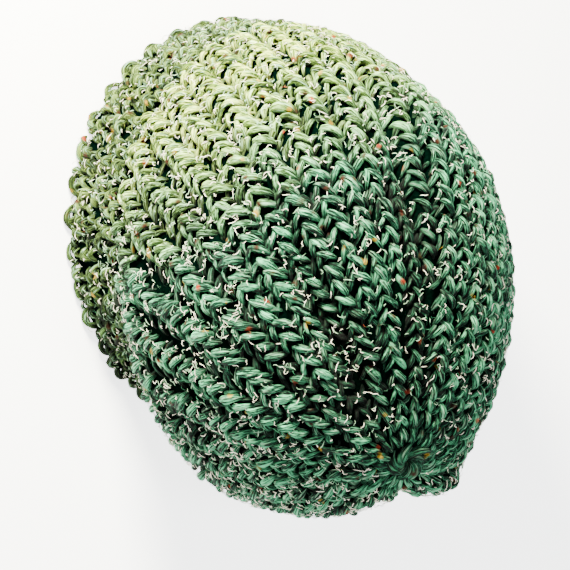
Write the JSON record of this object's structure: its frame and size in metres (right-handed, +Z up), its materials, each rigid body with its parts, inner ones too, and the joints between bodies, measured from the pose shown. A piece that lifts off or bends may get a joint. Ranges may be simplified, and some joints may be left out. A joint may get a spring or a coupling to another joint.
{
  "type": "slouchy beanie",
  "caption": "Chunky ribbed crochet slouch hat with a close band, scalloped rim and a loose crown drawn up at the back.",
  "frame": {"origin": "on the rim's plane, under the middle of the box", "axes": "+Z up as worn, +Y towards the back of the head, +X towards the wearer's left"},
  "size_m": [0.1858, 0.232, 0.1778],
  "materials": {
    "brim_band": "matte tweed wool, olive green",
    "crown": "matte tweed wool, deep green with light flecks"
  },
  "bodies": {
    "root": {"brim_band": "brim_band", "crown": "crown"}
  },
  "joints": []
}
